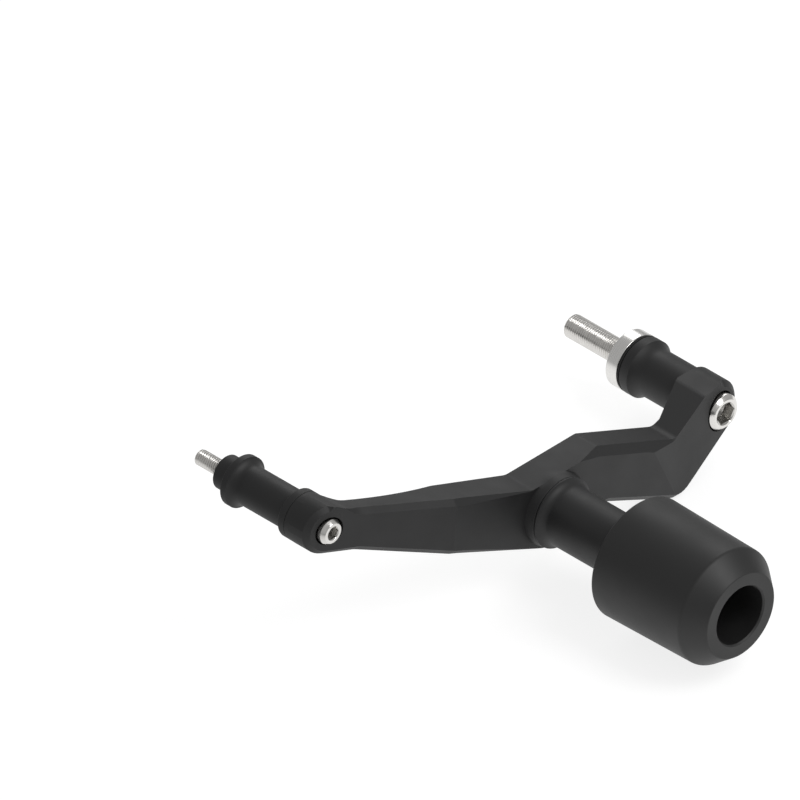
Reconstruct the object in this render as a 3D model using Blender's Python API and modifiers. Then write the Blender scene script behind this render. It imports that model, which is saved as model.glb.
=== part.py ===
"""Motorcycle frame slider.

A bowed aluminium arm is bolted to the frame at its two ends, over spacers. A post on its outer side
carries a plastic bobbin. X points outward along the bolts, Y runs along the motorcycle and Z is up.
The origin is where the main bolt's axis meets the face that seats on the frame. Lengths are in metres.
"""
import math

import bmesh
import bpy
from mathutils import Matrix, Vector

# Fit
JOINT_GAP = 0.0003
HOLE_CLEARANCE = 0.0004

# The rear bolt's axis and the post's axis, parallel to the main bolt's
REAR_AXIS_Y = -0.2469
REAR_AXIS_Z = 0.0515
POST_AXIS_Y = -0.1176
POST_AXIS_Z = 0.0084

# Stack on the main bolt, from the frame outward
COLLAR_LENGTH = 0.0071
COLLAR_RADIUS = 0.0145
COLLAR_CHAMFER = 0.0005
COLLAR_SPIGOT_RADIUS = 0.0115
SEAL_THICKNESS = 0.0017
MAIN_SPACER_LENGTH = 0.0330
MAIN_FLANGE_WIDTH = 0.0052
MAIN_FLANGE_EDGE = 0.0010
MAIN_SPACER_FILLET = 0.0090
MAIN_TUBE_RADIUS = 0.0120

# Stack on the rear bolt
REAR_SPACER_LENGTH = 0.0504
REAR_SPIGOT_LENGTH = 0.0090
REAR_SPIGOT_RADIUS = 0.0087
REAR_FLANGE_RADIUS = 0.0130
REAR_FLANGE_WIDTH = 0.0035
REAR_FLANGE_EDGE = 0.0005
REAR_SPACER_FILLET = 0.0052
REAR_TUBE_RADIUS = 0.0099
REAR_END_RING_WIDTH = 0.0047
REAR_END_RING_EDGE = 0.0010

# Cap screws
MAIN_THREAD_RADIUS = 0.0060
MAIN_HEAD_RADIUS = 0.0090
MAIN_HEAD_HEIGHT = 0.0120
MAIN_HEAD_EDGE = 0.0016
MAIN_HEXAGON = 0.0100
MAIN_SOCKET_DEPTH = 0.0060
MAIN_SCREW_LENGTH = 0.0881
REAR_THREAD_RADIUS = 0.0040
REAR_HEAD_RADIUS = 0.0065
REAR_HEAD_HEIGHT = 0.0080
REAR_HEAD_EDGE = 0.0012
REAR_HEXAGON = 0.0060
REAR_SOCKET_DEPTH = 0.0045
REAR_SCREW_LENGTH = 0.0789
BOBBIN_SCREW_LENGTH = 0.0900
TIP_CHAMFER = 0.0007

# Arm: bosses
MAIN_BOSS_RADIUS = 0.0139
MAIN_BOSS_THICKNESS = 0.0191
MAIN_BOSS_FLOOR = 0.0102
MAIN_COUNTERBORE_RADIUS = 0.00975
REAR_BOSS_RADIUS = 0.01245
REAR_BOSS_MARGIN = 0.00015
REAR_BOSS_THICKNESS = 0.0171
REAR_BOSS_DROP = 0.0062
REAR_BOSS_FLOOR = 0.0115
REAR_BOSS_ROOT_RADIUS = 0.0050
REAR_BOSS_ROOT_REACH = 0.0042
REAR_COUNTERBORE_RADIUS = 0.00725
POST_BOSS_HEIGHT = 0.0047
POST_BOSS_EDGE = 0.0005
POST_BOSS_ROOT_RADIUS = 0.0027
POST_BOSS_ROOT_REACH = 0.0010
POST_BOSS_FADE = 0.0090
POST_LOBE_RADIUS = 0.0203
POST_THREAD_RUNOUT = 0.0012

# Arm: the flat middle, and the facets that lean back to each end, as metres of X for a metre of Y or Z
ARM_BOW = 0.0102
ARM_THICKNESS = 0.0177
REAR_FACE_PER_Y = 0.25
REAR_FACE_PER_Z = -0.03
MAIN_FACE_PER_Y = -0.18
MAIN_FACE_PER_Z = -0.08
BACK_BEND_Y = -0.2050
BACK_RAMP_Y = -0.0090
BACK_RAMP_PER_Y = -0.46

# Arm: corners of the outline in Y and Z, each with its corner radius
TOP_KNEE = (-0.2338, 0.0582, 0.050)
TOP_BEND = (-0.1800, 0.0434, 0.025)
TOP_STEP = (-0.1315, 0.0252, 0.008)
TOP_SHOULDER = (-0.0860, 0.0259, 0.005)
TOP_VALLEY = (-0.0360, 0.0048, 0.006)
TOP_PEAK = (-0.0110, 0.0139, 0.006)
FOOT_CORNER = (-0.0326, -0.0299, 0.018)
BELLY_STEP = (-0.0830, -0.0068, 0.005)
BELLY_NOTCH_RADIUS = 0.006
BELLY_LOBE_END = -62.0
BELLY_KNEE = (-0.2323, 0.0348, 0.015)

# Arm: chamfered strips on the front edges. Each has its size and the four places, in Y, where it starts,
# is full, begins to thin out and ends. Those next to a boss run on into the boss's chamfer
LONG_STRIP = (0.0028, (-0.2390, -0.2300, -0.1740, -0.1265))
SHORT_STRIP = (0.0038, (-0.1003, -0.0860, -0.0510, -0.0330))
BELLY_STRIP = (0.0026, (-0.2600, -0.2500, -0.1780, -0.1270))
FOOT_STRIP = (0.0032, (-0.0960, -0.0830, 0.0200, 0.0300))

# Arm: chamfers round the bosses, with the same places as angles in degrees from +Y towards +Z
REAR_BOSS_STRIP = (0.0020, (80.0, 84.0, 300.0, 310.0))
MAIN_BOSS_STRIP = (0.0022, (-90.0, -80.0, 73.0, 85.0))

# Arm: milled pocket in the back, deep near the post and running out towards the rear boss
POCKET_WALL = 0.0065
POCKET_FLOOR = 0.0080
POCKET_CORNER = 0.0045
POCKET_START_Y = -0.1980
POCKET_END_Y = -0.1460

# Post
POST_LENGTH = 0.0501
POST_RADIUS = 0.0150
POST_FLARE = 0.0030
POST_RIM = 0.0008
POST_FILLET = 0.0050
POST_END_FLARE = 0.0033
POST_END_FILLET = 0.0045
POST_END_DEPTH = 0.0050
POST_SPIGOT_RADIUS = 0.0098

# Bobbin
BOBBIN_LENGTH = 0.0670
BOBBIN_RADIUS = 0.0309
BOBBIN_TAPER = 0.0010
BOBBIN_REAR_EDGE = 0.0013
BOBBIN_NOSE_LENGTH = 0.0106
BOBBIN_NOSE_DROP = 0.0080
BOBBIN_NOSE_EDGE = 0.0030
BOBBIN_HOLE_RADIUS = 0.0150
BOBBIN_HOLE_EDGE = 0.0008
BOBBIN_FLOOR = 0.0250
WASHER_THICKNESS = 0.0025
WASHER_RADIUS = 0.0120

# Smoothness
ROUND_STEPS = 40
LARGE_STEPS = 60
FILLET_STEPS = 5
ARC_STEP = math.radians(9.0)
SECTION_ARC_STEP = math.radians(20.0)

# A corner's arc takes no more than this share of the sides next to it
SIDE_SHARE = 0.48

# Cutters run this far past what they cut. Closer points than these become one, in a section and in the arm
OVERRUN = 0.0200
MERGE_DISTANCE = 0.00001
WELD_DISTANCE = 0.000005

# The chamfer cutter's reach past the edge, its clearance where there is no chamfer, its closest points and
# how near a boss's outline a point belongs to the boss
STRIP_REACH = 0.0008
STRIP_CLEARANCE = 0.0003
STRIP_POINT_SPACING = 0.0005
STRIP_BOSS_RANGE = 0.00015

# Places and radii that follow from the sizes above
SPACER_BASE_X = COLLAR_LENGTH + SEAL_THICKNESS
MAIN_BOSS_BACK_X = SPACER_BASE_X + MAIN_SPACER_LENGTH
MAIN_FACE_X = MAIN_BOSS_BACK_X + MAIN_BOSS_THICKNESS
MAIN_SEAT_X = MAIN_BOSS_BACK_X + MAIN_BOSS_FLOOR
REAR_BOSS_BACK_X = MAIN_BOSS_BACK_X - REAR_BOSS_DROP
REAR_FACE_X = REAR_BOSS_BACK_X + REAR_BOSS_THICKNESS
REAR_SEAT_X = REAR_BOSS_BACK_X + REAR_BOSS_FLOOR
REAR_END_X = REAR_BOSS_BACK_X - REAR_SPACER_LENGTH
ARM_BACK_X = MAIN_BOSS_BACK_X + ARM_BOW
ARM_FRONT_X = ARM_BACK_X + ARM_THICKNESS
POST_BASE_X = ARM_FRONT_X + POST_BOSS_HEIGHT
POST_RIM_RADIUS = POST_RADIUS + POST_FLARE
POST_END_RADIUS = POST_RADIUS + POST_END_FLARE
BOBBIN_REAR_X = POST_BASE_X + POST_LENGTH
BOBBIN_FACE_X = BOBBIN_REAR_X + BOBBIN_LENGTH
BOBBIN_FLOOR_X = BOBBIN_REAR_X + BOBBIN_FLOOR
WASHER_X = BOBBIN_FLOOR_X + JOINT_GAP
BOBBIN_SEAT_X = WASHER_X + WASHER_THICKNESS
POST_HOLE_END_X = BOBBIN_SEAT_X + JOINT_GAP - BOBBIN_SCREW_LENGTH - POST_THREAD_RUNOUT
SCREW_HOLE_RADIUS = MAIN_THREAD_RADIUS + HOLE_CLEARANCE
REAR_HOLE_RADIUS = REAR_THREAD_RADIUS + HOLE_CLEARANCE
SPIGOT_HOLE_RADIUS = POST_SPIGOT_RADIUS + HOLE_CLEARANCE

# The three axes in Y and Z
MAIN_AXIS = (0.0, 0.0)
REAR_AXIS = (REAR_AXIS_Y, REAR_AXIS_Z)
POST_AXIS = (POST_AXIS_Y, POST_AXIS_Z)


def leaning_face(x, axis, per_y, per_z):
    """A face of the arm, as a point and its outward normal."""
    return Vector((x, *axis)), Vector((1.0, -per_y, -per_z)).normalized()


REAR_FACE = leaning_face(REAR_FACE_X, REAR_AXIS, REAR_FACE_PER_Y, REAR_FACE_PER_Z)
MIDDLE_FACE = leaning_face(ARM_FRONT_X, POST_AXIS, 0.0, 0.0)
MAIN_FACE = leaning_face(MAIN_FACE_X, MAIN_AXIS, MAIN_FACE_PER_Y, MAIN_FACE_PER_Z)
ARM_FACES = (REAR_FACE, MIDDLE_FACE, MAIN_FACE)
BACK_BEND = leaning_face(ARM_BACK_X, (BACK_BEND_Y, 0.0), REAR_FACE_PER_Y, 0.0)
BACK_FLAT = leaning_face(ARM_BACK_X, POST_AXIS, 0.0, 0.0)
BACK_RAMP = leaning_face(MAIN_BOSS_BACK_X, (BACK_RAMP_Y, 0.0), BACK_RAMP_PER_Y, 0.0)


def new_collection(name):
    """A collection in the scene."""
    collection = bpy.data.collections.new(name)
    bpy.context.scene.collection.children.link(collection)
    return collection


for old in list(bpy.data.objects):
    bpy.data.objects.remove(old, do_unlink=True)
PART = new_collection("frame_slider")
CUTTERS = new_collection("cutters")


def finish(name, colour, roughness, metallic):
    """A plain Principled material."""
    material = bpy.data.materials.new(name)
    material.use_nodes = True
    shader = material.node_tree.nodes["Principled BSDF"]
    shader.inputs["Base Color"].default_value = (*colour, 1.0)
    shader.inputs["Roughness"].default_value = roughness
    shader.inputs["Metallic"].default_value = metallic
    return material


def anodised(name):
    """Black anodised aluminium."""
    return finish(name, (0.020, 0.020, 0.021), 0.38, 0.6)


def stainless(name):
    """Bright stainless steel."""
    return finish(name, (0.62, 0.60, 0.57), 0.25, 1.0)


def add(mesh, name, material):
    """Puts a mesh in the scene, as a piece if it has a material and else as a hidden cutter."""
    piece = bpy.data.objects.new(name, mesh)
    if material is None:
        CUTTERS.objects.link(piece)
        piece.hide_render = True
        piece.display_type = "WIRE"
    else:
        PART.objects.link(piece)
        mesh.materials.append(material)
    return piece


def to_mesh(shape, name):
    """Turns a closed shape into a mesh with its faces pointing out."""
    bmesh.ops.recalc_face_normals(shape, faces=shape.faces)
    mesh = bpy.data.meshes.new(name)
    shape.to_mesh(mesh)
    shape.free()
    return mesh


def rounded(corners, arc_step=ARC_STEP):
    """Replaces each corner (a, b, radius) of a closed outline by an arc. A radius of 0 keeps the point."""
    outline = []
    for index, (a, b, radius) in enumerate(corners):
        corner = Vector((a, b))
        if radius == 0.0:
            outline.append(corner)
            continue
        before = Vector(corners[index - 1][:2]) - corner
        after = Vector(corners[(index + 1) % len(corners)][:2]) - corner
        half = before.angle(after) / 2.0
        longest = SIDE_SHARE * min(before.length, after.length)
        reach = min(radius / math.tan(half), longest)
        middle = (before.normalized() + after.normalized()).normalized()
        centre = corner + middle * reach / math.cos(half)
        spoke = corner + before.normalized() * reach - centre
        turn = math.copysign(math.pi - 2.0 * half, before.cross(after))
        steps = max(2, round(abs(turn) / arc_step))
        for step in range(steps + 1):
            outline.append(centre + Matrix.Rotation(-turn * step / steps, 2) @ spoke)
    return outline


def turned(name, corners, axis, material=None, steps=ROUND_STEPS):
    """Turns a section about an axis parallel to X.

    Its corners are (radius, x, rounding), with X falling along the outer side. A section that starts on
    the axis also ends on it.
    """
    points = []
    for point in rounded(corners, SECTION_ARC_STEP):
        if not points or (point - points[-1]).length > MERGE_DISTANCE:
            points.append(point)
    shape = bmesh.new()
    verts = [shape.verts.new((point.x, 0.0, point.y)) for point in points]
    for first, second in zip(verts, verts[1:]):
        shape.edges.new((first, second))
    if corners[0][0] > 0.0:
        shape.edges.new((verts[-1], verts[0]))
    mesh = bpy.data.meshes.new(name)
    shape.to_mesh(mesh)
    shape.free()
    piece = add(mesh, name, material)
    piece.location = (0.0, *axis)
    piece.rotation_euler = (0.0, math.radians(90.0), 0.0)
    screw = piece.modifiers.new("turn", "SCREW")
    screw.axis = "Z"
    screw.angle = math.tau
    screw.steps = steps
    screw.render_steps = steps
    screw.use_merge_vertices = True
    screw.merge_threshold = MERGE_DISTANCE
    screw.use_smooth_shade = True
    return piece


def flare(tube_radius, rim_radius, fillet, x, way):
    """Corners of a hollow fillet between a rim at x and a tube, which lies on the +X side if way is 1."""
    height = min(rim_radius - tube_radius, fillet)
    sweep = math.acos(1.0 - height / fillet)
    tube_x = x + way * fillet * math.sin(sweep)
    corners = []
    for step in range(FILLET_STEPS + 1):
        angle = sweep * step / FILLET_STEPS
        radius = tube_radius + fillet * (1.0 - math.cos(angle))
        corners.append((radius, tube_x - way * fillet * math.sin(angle), 0.0))
    return corners[::way]


def cut(piece, tool, operation="DIFFERENCE"):
    """Adds a Boolean modifier to a piece."""
    boolean = piece.modifiers.new(tool.name, "BOOLEAN")
    boolean.operation = operation
    boolean.object = tool
    boolean.solver = "EXACT"


def trim(shape, planes):
    """Cuts a closed shape back to the inner side of each (point, outward normal) plane."""
    for point, outward in planes:
        parts = list(shape.verts) + list(shape.edges) + list(shape.faces)
        bmesh.ops.bisect_plane(shape, geom=parts, plane_co=point, plane_no=outward, clear_outer=True)
        rim = [edge for edge in shape.edges if edge.is_boundary]
        if rim:
            bmesh.ops.edgeloop_fill(shape, edges=rim)


def prism(name, outline, low_x, high_x, planes=(), material=None):
    """A closed outline in Y and Z, extruded along X and trimmed by planes."""
    shape = bmesh.new()
    face = shape.faces.new([shape.verts.new((low_x, point[0], point[1])) for point in outline])
    grown = bmesh.ops.extrude_face_region(shape, geom=[face], use_keep_orig=True)
    moved = [item for item in grown["geom"] if isinstance(item, bmesh.types.BMVert)]
    bmesh.ops.translate(shape, verts=moved, vec=(high_x - low_x, 0.0, 0.0))
    bmesh.ops.recalc_face_normals(shape, faces=shape.faces)
    trim(shape, planes)
    return add(to_mesh(shape, name), name, material)


def block(name, low, high, planes=()):
    """A box cutter from one corner to the other, trimmed by planes."""
    shape = bmesh.new()
    bmesh.ops.create_cube(shape, size=1.0)
    bmesh.ops.scale(shape, vec=Vector(high) - Vector(low), verts=shape.verts)
    bmesh.ops.translate(shape, vec=(Vector(high) + Vector(low)) / 2.0, verts=shape.verts)
    trim(shape, planes)
    return add(to_mesh(shape, name), name, None)


def on_circle(axis, radius, degrees):
    """Y and Z of a point on a circle, at an angle from +Y towards +Z."""
    angle = math.radians(degrees)
    return (axis[0] + radius * math.cos(angle), axis[1] + radius * math.sin(angle))


def arc(axis, radius, start, end):
    """Corners along a circle, from one angle to another."""
    steps = max(2, round(abs(math.radians(end - start)) / ARC_STEP))
    places = [start + (end - start) * step / steps for step in range(steps + 1)]
    return [(*on_circle(axis, radius, place), 0.0) for place in places]


def touch_angle(corner, axis, radius, side):
    """Angle at which a line from a corner touches a circle, in degrees. The side is 1 or -1."""
    away = Vector(corner[:2]) - Vector(axis)
    return math.degrees(math.atan2(away.y, away.x) + side * math.acos(radius / away.length))


def arm_outline():
    """The arm's outline seen along the bolts, anticlockwise in Y and Z from the rear boss's top."""
    rear_radius = REAR_BOSS_RADIUS + REAR_BOSS_MARGIN
    rear_top = touch_angle(TOP_KNEE, REAR_AXIS, rear_radius, 1)
    rear_bottom = touch_angle(BELLY_KNEE, REAR_AXIS, rear_radius, -1)
    lobe_start = touch_angle(BELLY_KNEE, POST_AXIS, POST_LOBE_RADIUS, 1)
    foot = touch_angle(FOOT_CORNER, MAIN_AXIS, MAIN_BOSS_RADIUS, 1)
    peak = touch_angle(TOP_PEAK, MAIN_AXIS, MAIN_BOSS_RADIUS, -1)
    lobe = arc(POST_AXIS, POST_LOBE_RADIUS, lobe_start - 360.0, BELLY_LOBE_END)
    lobe_y, lobe_z, _ = lobe[-1]
    notch_y = lobe_y - (BELLY_STEP[1] - lobe_z) * math.tan(math.radians(BELLY_LOBE_END))
    corners = arc(REAR_AXIS, rear_radius, rear_top, rear_bottom + 360.0)
    corners += [BELLY_KNEE, *lobe]
    corners += [(notch_y, BELLY_STEP[1], BELLY_NOTCH_RADIUS), BELLY_STEP, FOOT_CORNER]
    corners += arc(MAIN_AXIS, MAIN_BOSS_RADIUS, foot, peak)
    corners += [TOP_PEAK, TOP_VALLEY, TOP_SHOULDER, TOP_STEP, TOP_BEND, TOP_KNEE]
    return rounded(corners)


def inset(outline, distance):
    """An anticlockwise outline, moved inward."""
    moved = []
    for index, point in enumerate(outline):
        along = (outline[(index + 1) % len(outline)] - outline[index - 1]).normalized()
        moved.append(point + Vector((-along.y, along.x)) * distance)
    return moved


def height_on(first, second, y):
    """Z at Y on the line through two corners."""
    return first[1] + (second[1] - first[1]) * (y - first[0]) / (second[0] - first[0])


def x_on(face, y, z):
    """X on a face of the arm."""
    point, outward = face
    return point.x - (outward.y * (y - point.y) + outward.z * (z - point.z)) / outward.x


def front_x(point):
    """X of the arm's front at a Y and Z."""
    return min(x_on(face, *point) for face in ARM_FACES)


def strip_size(strip, place):
    """How far a chamfered strip cuts back at a place along it. Off its ends the cutter stays clear."""
    size, (start, full_from, full_to, end) = strip
    if place < start or place > end:
        return -STRIP_CLEARANCE
    return size * min(1.0, (place - start) / (full_from - start), (end - place) / (end - full_to))


def chamfer_size(point, outward):
    """The front edge's chamfer at a point of the outline."""
    from_rear = point - Vector(REAR_AXIS)
    from_main = point - Vector(MAIN_AXIS)
    if from_rear.length < REAR_BOSS_RADIUS + REAR_BOSS_MARGIN + STRIP_BOSS_RANGE:
        return strip_size(REAR_BOSS_STRIP, math.degrees(math.atan2(from_rear.y, from_rear.x)) % 360.0)
    if from_main.length < MAIN_BOSS_RADIUS + STRIP_BOSS_RANGE:
        return strip_size(MAIN_BOSS_STRIP, math.degrees(math.atan2(from_main.y, from_main.x)))
    strips = (LONG_STRIP, SHORT_STRIP) if outward.y > 0.0 else (BELLY_STRIP, FOOT_STRIP)
    return max(strip_size(strip, point.x) for strip in strips)


def stops(first, last, outward):
    """Points between two of the outline's, where a strip or a facet of the front begins or ends."""
    shares = []
    along = last - first
    strips = (LONG_STRIP, SHORT_STRIP) if outward.y > 0.0 else (BELLY_STRIP, FOOT_STRIP)
    if abs(along.x) > STRIP_POINT_SPACING:
        shares += [(place - first.x) / along.x for strip in strips for place in strip[1]]
    for face, other in zip(ARM_FACES, ARM_FACES[1:]):
        start = x_on(face, *first) - x_on(other, *first)
        end = x_on(face, *last) - x_on(other, *last)
        if start * end < 0.0:
            shares.append(start / (start - end))
    kept = []
    least = STRIP_POINT_SPACING / along.length
    for share in sorted(shares):
        if share - (kept[-1] if kept else 0.0) > least and share < 1.0 - least:
            kept.append(share)
    return [first + along * share for share in kept]


def front_chamfers(outline):
    """Cutter for the front edge's chamfers: a ring along the outline with a triangular section."""
    places = []
    for index, point in enumerate(outline):
        following = outline[(index + 1) % len(outline)]
        across = (following - outline[index - 1]).normalized()
        ahead = (following - point).normalized()
        places.append((point, Vector((across.y, -across.x))))
        outward = Vector((ahead.y, -ahead.x))
        places += [(stop, outward) for stop in stops(point, following, outward)]
    shape = bmesh.new()
    rows = []
    for point, outward in places:
        size = chamfer_size(point, outward)
        edge_x = front_x(point)
        outside = point + outward * STRIP_REACH
        inside = point - outward * (size + STRIP_REACH)
        low_x = edge_x - size - STRIP_REACH
        high_x = edge_x + STRIP_REACH
        corners = ((low_x, *outside), (high_x, *inside), (high_x, *outside))
        rows.append([shape.verts.new(corner) for corner in corners])
    for index, row in enumerate(rows):
        following = rows[(index + 1) % len(rows)]
        for side in range(3):
            after = (side + 1) % 3
            shape.faces.new((row[side], row[after], following[after], following[side]))
    bmesh.ops.triangulate(shape, faces=shape.faces)
    return add(to_mesh(shape, "front_chamfers"), "front_chamfers", None)


def rear_boss(outline):
    """The rear boss with the hollow fillet at its root, which leans with the arm's back face."""
    back_x = x_on(BACK_BEND, *REAR_AXIS)
    rim = REAR_BOSS_RADIUS + REAR_BOSS_ROOT_REACH
    inside = back_x + REAR_BOSS_THICKNESS / 4.0
    corners = [(0.0, inside, 0.0), (rim, inside, 0.0)]
    corners += flare(REAR_BOSS_RADIUS, rim, REAR_BOSS_ROOT_RADIUS, back_x, -1)
    corners += [(REAR_BOSS_RADIUS, back_x - OVERRUN, 0.0), (0.0, back_x - OVERRUN, 0.0)]
    boss = turned("rear_boss", corners, REAR_AXIS)
    bpy.context.view_layer.update()
    mesh = bpy.data.meshes.new_from_object(boss.evaluated_get(bpy.context.evaluated_depsgraph_get()))
    mesh.transform(boss.matrix_world)
    lean = Matrix.Identity(4)
    lean[0][1] = REAR_FACE_PER_Y
    lean[0][3] = -REAR_FACE_PER_Y * REAR_AXIS_Y
    mesh.transform(lean)
    bpy.data.objects.remove(boss, do_unlink=True)
    boss = add(mesh, "rear_boss", None)
    within = inset(outline, REAR_BOSS_MARGIN / 2.0)
    limit = prism("rear_boss_limit", within, REAR_BOSS_BACK_X, ARM_FRONT_X)
    cut(boss, limit, "INTERSECT")
    return boss


def post_boss():
    """The round boss under the post. Behind the front face it narrows until the arm's top covers it."""
    rim = POST_RIM_RADIUS + POST_BOSS_ROOT_REACH
    fade_x = ARM_FRONT_X - POST_BOSS_FADE
    fade_radius = TOP_STEP[1] - POST_AXIS_Z - JOINT_GAP
    corners = [(0.0, POST_BASE_X, 0.0), (POST_RIM_RADIUS, POST_BASE_X, POST_BOSS_EDGE)]
    corners += flare(POST_RIM_RADIUS, rim, POST_BOSS_ROOT_RADIUS, ARM_FRONT_X, 1)
    corners += [(fade_radius, fade_x, 0.0), (0.0, fade_x, 0.0)]
    return turned("post_boss", corners, POST_AXIS, steps=LARGE_STEPS)


def back_pocket():
    """The pocket milled in the arm's back, with a floor that runs out to the back face."""
    start_y = POCKET_START_Y - POCKET_CORNER
    belly_end = on_circle(
        POST_AXIS, POST_LOBE_RADIUS, touch_angle(BELLY_KNEE, POST_AXIS, POST_LOBE_RADIUS, 1)
    )
    corners = [
        (start_y, height_on(TOP_KNEE, TOP_BEND, start_y) - POCKET_WALL, POCKET_CORNER),
        (start_y, height_on(BELLY_KNEE, belly_end, start_y) + POCKET_WALL, POCKET_CORNER),
        (POCKET_END_Y, height_on(BELLY_KNEE, belly_end, POCKET_END_Y) + POCKET_WALL, POCKET_CORNER),
        (POCKET_END_Y, height_on(TOP_BEND, TOP_STEP, POCKET_END_Y) - POCKET_WALL, POCKET_CORNER),
    ]
    depth = ARM_THICKNESS - POCKET_FLOOR
    rise = depth / (POCKET_END_Y - POCKET_START_Y)
    floor = leaning_face(ARM_BACK_X, (POCKET_START_Y, 0.0), rise, 0.0)
    return prism("back_pocket", rounded(corners), ARM_BACK_X - OVERRUN, ARM_FRONT_X, [floor])


def screw_hole(name, axis, seat_x, hole_radius, head_radius):
    """A hole through the arm with a counterbore for a cap screw's head."""
    top = ARM_FRONT_X + OVERRUN
    bottom = REAR_BOSS_BACK_X - OVERRUN
    corners = [
        (0.0, top, 0.0),
        (head_radius, top, 0.0),
        (head_radius, seat_x, 0.0),
        (hole_radius, seat_x, 0.0),
        (hole_radius, bottom, 0.0),
        (0.0, bottom, 0.0),
    ]
    return turned(name, corners, axis)


def post_hole():
    """The blind hole in the arm that the bobbin's screw goes into."""
    top = POST_BASE_X + OVERRUN
    corners = [
        (0.0, top, 0.0),
        (SCREW_HOLE_RADIUS, top, 0.0),
        (SCREW_HOLE_RADIUS, POST_HOLE_END_X, 0.0),
        (0.0, POST_HOLE_END_X, 0.0),
    ]
    return turned("post_hole", corners, POST_AXIS)


def back_cutters():
    """Cutters for the arm's back: one for the bowed face, one for the main boss's flat end."""
    low = (REAR_BOSS_BACK_X - OVERRUN, REAR_AXIS_Y - 2.0 * OVERRUN, -3.0 * OVERRUN)
    high = (ARM_BACK_X + OVERRUN, 2.0 * OVERRUN, REAR_AXIS_Z + 2.0 * OVERRUN)
    bowed = block("arm_back", low, high, [BACK_BEND, BACK_FLAT, BACK_RAMP])
    low = (REAR_BOSS_BACK_X - OVERRUN, POST_AXIS_Y, -3.0 * OVERRUN)
    high = (MAIN_BOSS_BACK_X, 2.0 * OVERRUN, 3.0 * OVERRUN)
    return [bowed, block("main_boss_back", low, high)]


def mounting_arm():
    """The arm, milled from one plate."""
    outline = arm_outline()
    high_x = ARM_FRONT_X + OVERRUN
    material = anodised("arm_anodised")
    arm = prism("mounting_arm", outline, REAR_BOSS_BACK_X, high_x, ARM_FACES, material)
    for tool in back_cutters():
        cut(arm, tool)
    cut(arm, front_chamfers(outline))
    weld = arm.modifiers.new("weld", "WELD")
    weld.merge_threshold = WELD_DISTANCE
    cut(arm, rear_boss(outline), "UNION")
    cut(arm, post_boss(), "UNION")
    cut(arm, back_pocket())
    main_radii = (SCREW_HOLE_RADIUS, MAIN_COUNTERBORE_RADIUS)
    rear_radii = (REAR_HOLE_RADIUS, REAR_COUNTERBORE_RADIUS)
    cut(arm, screw_hole("main_hole", MAIN_AXIS, MAIN_SEAT_X, *main_radii))
    cut(arm, screw_hole("rear_hole", REAR_AXIS, REAR_SEAT_X, *rear_radii))
    cut(arm, post_hole())


def cap_screw(name, axis, seat_x, length, thread_radius, head, hexagon, socket_depth):
    """A socket head cap screw whose head rests on seat_x."""
    head_radius, head_height, head_edge = head
    base_x = seat_x + JOINT_GAP
    top_x = base_x + head_height
    tip_x = base_x - length
    corners = [
        (0.0, top_x, 0.0),
        (head_radius, top_x, head_edge),
        (head_radius, base_x, 0.0),
        (thread_radius, base_x, 0.0),
        (thread_radius, tip_x + TIP_CHAMFER, 0.0),
        (thread_radius - TIP_CHAMFER, tip_x, 0.0),
        (0.0, tip_x, 0.0),
    ]
    screw = turned(name, corners, axis, stainless(name + "_steel"))
    sides = [(hexagon / math.sqrt(3.0), math.radians(30.0 + 60.0 * side)) for side in range(6)]
    outline = [
        (axis[0] + radius * math.cos(angle), axis[1] + radius * math.sin(angle)) for radius, angle in sides
    ]
    cut(screw, prism(name + "_socket", outline, top_x - socket_depth, top_x + OVERRUN))


def main_collar():
    """The bright collar that seats on the frame. The seal ring sits on its spigot."""
    spigot_end = SPACER_BASE_X - JOINT_GAP
    corners = [
        (SCREW_HOLE_RADIUS, spigot_end, 0.0),
        (COLLAR_SPIGOT_RADIUS, spigot_end, 0.0),
        (COLLAR_SPIGOT_RADIUS, COLLAR_LENGTH, 0.0),
        (COLLAR_RADIUS - COLLAR_CHAMFER, COLLAR_LENGTH, 0.0),
        (COLLAR_RADIUS, COLLAR_LENGTH - COLLAR_CHAMFER, 0.0),
        (COLLAR_RADIUS, COLLAR_CHAMFER, 0.0),
        (COLLAR_RADIUS - COLLAR_CHAMFER, 0.0, 0.0),
        (SCREW_HOLE_RADIUS, 0.0, 0.0),
    ]
    turned("main_collar", corners, MAIN_AXIS, stainless("collar_steel"))


def seal_ring():
    """The black ring between the collar and the main spacer."""
    corners = [
        (COLLAR_SPIGOT_RADIUS + JOINT_GAP, SPACER_BASE_X - JOINT_GAP, 0.0),
        (COLLAR_RADIUS, SPACER_BASE_X - JOINT_GAP, 0.0),
        (COLLAR_RADIUS, COLLAR_LENGTH + JOINT_GAP, 0.0),
        (COLLAR_SPIGOT_RADIUS + JOINT_GAP, COLLAR_LENGTH + JOINT_GAP, 0.0),
    ]
    turned("seal_ring", corners, MAIN_AXIS, finish("black_rubber", (0.01, 0.01, 0.01), 0.7, 0.0))


def main_spacer():
    """The spacer between the seal ring and the arm's main boss."""
    flange_x = SPACER_BASE_X + MAIN_FLANGE_WIDTH
    top_x = MAIN_BOSS_BACK_X - JOINT_GAP
    corners = [(SCREW_HOLE_RADIUS, top_x, 0.0), (MAIN_TUBE_RADIUS, top_x, 0.0)]
    corners += flare(MAIN_TUBE_RADIUS, COLLAR_RADIUS, MAIN_SPACER_FILLET, flange_x, 1)
    corners += [(COLLAR_RADIUS, SPACER_BASE_X, MAIN_FLANGE_EDGE), (SCREW_HOLE_RADIUS, SPACER_BASE_X, 0.0)]
    turned("main_spacer", corners, MAIN_AXIS, anodised("main_spacer_anodised"))


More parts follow.
